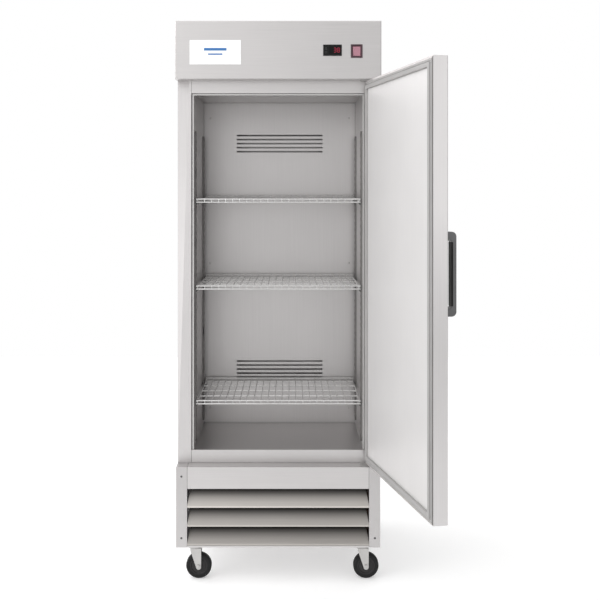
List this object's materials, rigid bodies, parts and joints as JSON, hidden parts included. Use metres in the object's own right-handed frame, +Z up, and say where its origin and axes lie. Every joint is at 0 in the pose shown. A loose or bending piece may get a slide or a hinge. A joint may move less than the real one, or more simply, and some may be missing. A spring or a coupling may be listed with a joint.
{
  "type": "reach in refrigerator",
  "caption": "Upright stainless reach-in refrigerator with a solid swing door, wire shelves, header controls, louvred base and swivel casters.",
  "frame": {"origin": "on the floor, under the middle of the bounding box of the object with its door open as built", "axes": "+X to the right of a person facing the door opening, +Y towards the back, +Z up"},
  "size_m": [0.888, 1.3928, 1.971],
  "materials": {
    "stainless": "satin",
    "liner_steel": "satin",
    "door_liner": "satin",
    "foam": "matte",
    "trim_plastic": "satin",
    "zinc": "satin",
    "chrome_wire": "gloss",
    "black_plastic": "satin",
    "gasket_grey": "matte",
    "black_enamel": "satin",
    "fin_alloy": "satin",
    "fan_grey": "matte",
    "rocker_red": "gloss",
    "plate_white": "gloss",
    "caster_rubber": "matte"
  },
  "bodies": {
    "cabinet": {"outer_shell": "stainless", "rear_panel": "stainless", "insulation": "foam", "inner_liner": "liner_steel", "stile_left": "stainless", "stile_right": "stainless", "top_rail": "stainless", "door_sill": "stainless", "breaker_strip": "trim_plastic", "duct_panel": "liner_steel", "evaporator_coil": "fin_alloy", "evaporator_fan_motor": "black_enamel", "interior_light": "trim_plastic", "pilaster_left_front": "liner_steel", "pilaster_left_rear": "liner_steel", "pilaster_right_front": "liner_steel", "pilaster_right_rear": "liner_steel", "shelf_top": "chrome_wire", "shelf_middle": "chrome_wire", "shelf_bottom": "chrome_wire", "header_panel": "stainless", "name_plate": "plate_white", "controller": "black_plastic", "rocker_bezel": "black_plastic", "control_box": "door_liner", "base_side_left": "stainless", "base_side_right": "stainless", "kick_plate": "stainless", "louver_grille": "stainless", "base_deck": "stainless", "compressor": "black_enamel", "condenser_coil": "fin_alloy", "condenser_fan_motor": "black_enamel", "condensate_pan": "black_plastic", "rear_grille": "stainless", "cord_gland": "black_plastic", "caster_plate_front_left": "zinc", "caster_plate_rear_left": "zinc", "caster_plate_front_right": "zinc", "caster_plate_rear_right": "zinc", "hinge_top": "zinc", "hinge_bottom": "zinc"},
    "door": {"door_skin": "stainless", "door_insulation": "foam", "door_inner_panel": "door_liner", "door_gasket": "gasket_grey", "door_handle": "black_plastic"},
    "rocker": {"rocker_key": "rocker_red"},
    "button_down": {"controller_button_down": "black_plastic"},
    "button_up": {"controller_button_up": "black_plastic"},
    "evaporator_fan": {"evaporator_fan_blade": "fan_grey"},
    "condenser_fan": {"condenser_fan_blade": "fin_alloy"},
    "caster_front_left": {"caster_fork_front_left": "zinc"},
    "wheel_front_left": {"caster_wheel_front_left": "caster_rubber"},
    "caster_rear_left": {"caster_fork_rear_left": "zinc"},
    "wheel_rear_left": {"caster_wheel_rear_left": "caster_rubber"},
    "caster_front_right": {"caster_fork_front_right": "zinc"},
    "wheel_front_right": {"caster_wheel_front_right": "caster_rubber"},
    "caster_rear_right": {"caster_fork_rear_right": "zinc"},
    "wheel_rear_right": {"caster_wheel_rear_right": "caster_rubber"}
  },
  "joints": [
    {"name": "door_hinge", "type": "hinge", "parent": "cabinet", "child": "door", "pos_m": [0.25404, -0.01157, 1.0892], "axis": [0, 0, 1], "range_deg": [-101.6, 18]},
    {"name": "power_rocker", "type": "hinge", "parent": "cabinet", "child": "rocker", "pos_m": [0.19154, -0.03557, 1.8645], "axis": [1, 0, 0], "range_deg": [-18, 0]},
    {"name": "button_down_press", "type": "slide", "parent": "cabinet", "child": "button_down", "axis": [0, 1, 0], "range_m": [0, 0.0012], "stiffness_N_per_m": 300},
    {"name": "button_up_press", "type": "slide", "parent": "cabinet", "child": "button_up", "axis": [0, 1, 0], "range_m": [0, 0.0012], "stiffness_N_per_m": 300},
    {"name": "evaporator_fan_spin", "type": "hinge", "parent": "cabinet", "child": "evaporator_fan", "pos_m": [-0.08296, 0.49843, 1.39], "axis": [0, 1, 0], "continuous": true},
    {"name": "condenser_fan_spin", "type": "hinge", "parent": "cabinet", "child": "condenser_fan", "pos_m": [0.02704, 0.12043, 0.255], "axis": [0, 1, 0], "continuous": true},
    {"name": "caster_front_left_swivel", "type": "hinge", "parent": "cabinet", "child": "caster_front_left", "pos_m": [-0.37996, 0.03543, 0.12], "axis": [0, 0, 1], "continuous": true},
    {"name": "wheel_front_left_spin", "type": "hinge", "parent": "caster_front_left", "child": "wheel_front_left", "pos_m": [-0.36546, 0.03543, 0.04521], "axis": [0, 1, 0], "continuous": true},
    {"name": "caster_rear_left_swivel", "type": "hinge", "parent": "cabinet", "child": "caster_rear_left", "pos_m": [-0.37996, 0.60943, 0.12], "axis": [0, 0, 1], "continuous": true},
    {"name": "wheel_rear_left_spin", "type": "hinge", "parent": "caster_rear_left", "child": "wheel_rear_left", "pos_m": [-0.36546, 0.60943, 0.04521], "axis": [0, 1, 0], "continuous": true},
    {"name": "caster_front_right_swivel", "type": "hinge", "parent": "cabinet", "child": "caster_front_right", "pos_m": [0.21404, 0.03543, 0.12], "axis": [0, 0, 1], "continuous": true},
    {"name": "wheel_front_right_spin", "type": "hinge", "parent": "caster_front_right", "child": "wheel_front_right", "pos_m": [0.22854, 0.03543, 0.04521], "axis": [0, 1, 0], "continuous": true},
    {"name": "caster_rear_right_swivel", "type": "hinge", "parent": "cabinet", "child": "caster_rear_right", "pos_m": [0.21404, 0.60943, 0.12], "axis": [0, 0, 1], "continuous": true},
    {"name": "wheel_rear_right_spin", "type": "hinge", "parent": "caster_rear_right", "child": "wheel_rear_right", "pos_m": [0.22854, 0.60943, 0.04521], "axis": [0, 1, 0], "continuous": true}
  ]
}
